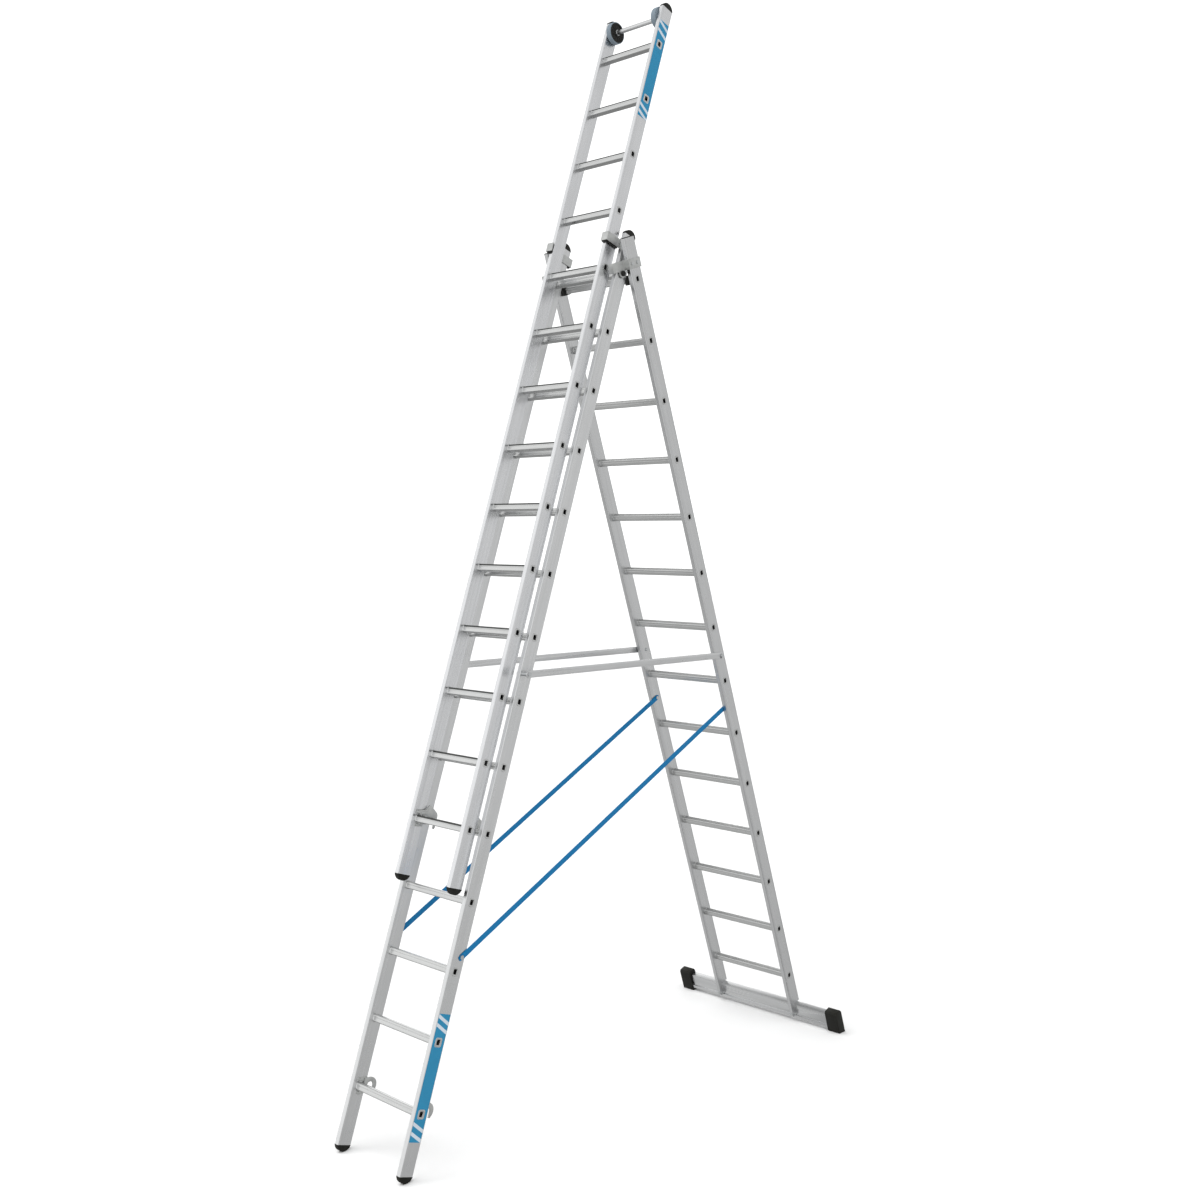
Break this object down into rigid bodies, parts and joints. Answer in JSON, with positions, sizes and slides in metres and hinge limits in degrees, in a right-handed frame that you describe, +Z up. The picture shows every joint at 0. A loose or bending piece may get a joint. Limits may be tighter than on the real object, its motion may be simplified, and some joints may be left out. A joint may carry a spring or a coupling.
{
  "type": "extension ladder",
  "caption": "Aluminium combination ladder: a front and a rear section hinged into an A-frame on a stabiliser bar, and an upper section hooked on as an extension, with wall rollers.",
  "frame": {"origin": "on the floor under the middle of the ladder as it stands, halfway between the front feet and the back of the stabiliser's feet", "axes": "+Z up, +X along the rungs to the climber's right, +Y from the climbing side towards the rear section"},
  "size_m": [1.042, 2.6516, 4.9973],
  "materials": {
    "stile_aluminium": "satin extruded box section",
    "rung_aluminium": "satin extruded tube, grooved on top",
    "bar_aluminium": "satin extruded bar",
    "bracket_metal": "plain pressed or cast fitting",
    "steel_fastener": "zinc-plated",
    "black_cap": "matt black moulding",
    "black_plastic": "matt black moulding",
    "grey_tyre": "matt blue-grey tyre",
    "blue_label": "printed film, plain stripes, no text",
    "blue_webbing": "flat woven webbing"
  },
  "bodies": {
    "front": {"front_stile_left": "stile_aluminium", "front_stile_right": "stile_aluminium", "front_rungs": "rung_aluminium", "front_foot_left": "black_cap", "front_foot_right": "black_cap", "front_top_cap_left": "black_cap", "front_top_cap_right": "black_cap", "front_hook_left": "bracket_metal", "front_hook_right": "bracket_metal", "guide_bracket_left": "bracket_metal", "guide_bracket_right": "bracket_metal", "guide_slider_left": "black_plastic", "guide_slider_right": "black_plastic", "guide_bolts": "steel_fastener", "fold_pin_left": "steel_fastener", "fold_pin_right": "steel_fastener", "fold_knob_left": "black_plastic", "fold_knob_right": "black_plastic", "spreader_post_left": "steel_fastener", "spreader_post_right": "steel_fastener", "front_strap_bolts": "steel_fastener", "front_label": "blue_label", "strap_left": "blue_webbing", "strap_right": "blue_webbing"},
    "rear": {"rear_stile_left": "stile_aluminium", "rear_stile_right": "stile_aluminium", "rear_rungs": "rung_aluminium", "rear_end_plugs": "black_cap", "fold_bracket_left": "bracket_metal", "fold_bracket_right": "bracket_metal", "fold_bracket_bolts": "steel_fastener", "fold_buffer_left": "black_plastic", "fold_buffer_right": "black_plastic", "crossbar": "bar_aluminium", "crossbar_foot_left": "black_cap", "crossbar_foot_right": "black_cap", "crossbar_bolts": "steel_fastener", "spreader_stud_left": "steel_fastener", "spreader_stud_right": "steel_fastener", "rear_strap_bolts": "steel_fastener"},
    "upper": {"upper_stile_left": "stile_aluminium", "upper_stile_right": "stile_aluminium", "upper_rungs": "rung_aluminium", "upper_foot_left": "black_cap", "upper_foot_right": "black_cap", "upper_top_cap_left": "black_cap", "upper_top_cap_right": "black_cap", "upper_label": "blue_label", "latch_mount_left": "bracket_metal", "latch_mount_right": "bracket_metal", "roller_axle": "bar_aluminium", "axle_collars": "steel_fastener"},
    "spreader_left": {"spreader_left": "bar_aluminium"},
    "spreader_right": {"spreader_right": "bar_aluminium"},
    "latch_left": {"latch_left": "bracket_metal"},
    "latch_right": {"latch_right": "bracket_metal"},
    "roller_left": {"roller_core_left": "black_plastic", "roller_tyre_left": "grey_tyre"},
    "roller_right": {"roller_core_right": "black_plastic", "roller_tyre_right": "grey_tyre"}
  },
  "joints": [
    {"name": "fold", "type": "hinge", "parent": "front", "child": "rear", "pos_m": [0, -0.07416, 3.71051], "axis": [1, 0, 0], "range_deg": [-37.76, 0], "deforming": ["strap_left", "strap_right"]},
    {"name": "extension", "type": "slide", "parent": "front", "child": "upper", "axis": [0, 0.3142, 0.9494], "range_m": [-1.12, 1.68]},
    {"name": "latch_left", "type": "hinge", "parent": "upper", "child": "latch_left", "pos_m": [0, -0.92866, 1.36891], "axis": [1, 0, 0], "range_deg": [0, 95]},
    {"name": "latch_right", "type": "hinge", "parent": "upper", "child": "latch_right", "pos_m": [0, -0.92866, 1.36891], "axis": [1, 0, 0], "range_deg": [0, 95]},
    {"name": "spreader_left", "type": "hinge", "parent": "front", "child": "spreader_left", "pos_m": [0, -0.67404, 1.96774], "axis": [1, 0, 0], "range_deg": [0, 71.7]},
    {"name": "spreader_right", "type": "hinge", "parent": "front", "child": "spreader_right", "pos_m": [0, -0.67404, 1.96774], "axis": [1, 0, 0], "range_deg": [0, 71.7]},
    {"name": "roller_left", "type": "hinge", "parent": "upper", "child": "roller_left", "pos_m": [0, 0.25749, 4.93428], "axis": [1, 0, 0], "continuous": true},
    {"name": "roller_right", "type": "hinge", "parent": "upper", "child": "roller_right", "pos_m": [0, 0.25749, 4.93428], "axis": [1, 0, 0], "continuous": true}
  ],
  "couplings": [
    {"joint": "spreader_left", "follows": "fold", "ratio": -1.8952},
    {"joint": "spreader_right", "follows": "fold", "ratio": -1.8952}
  ]
}
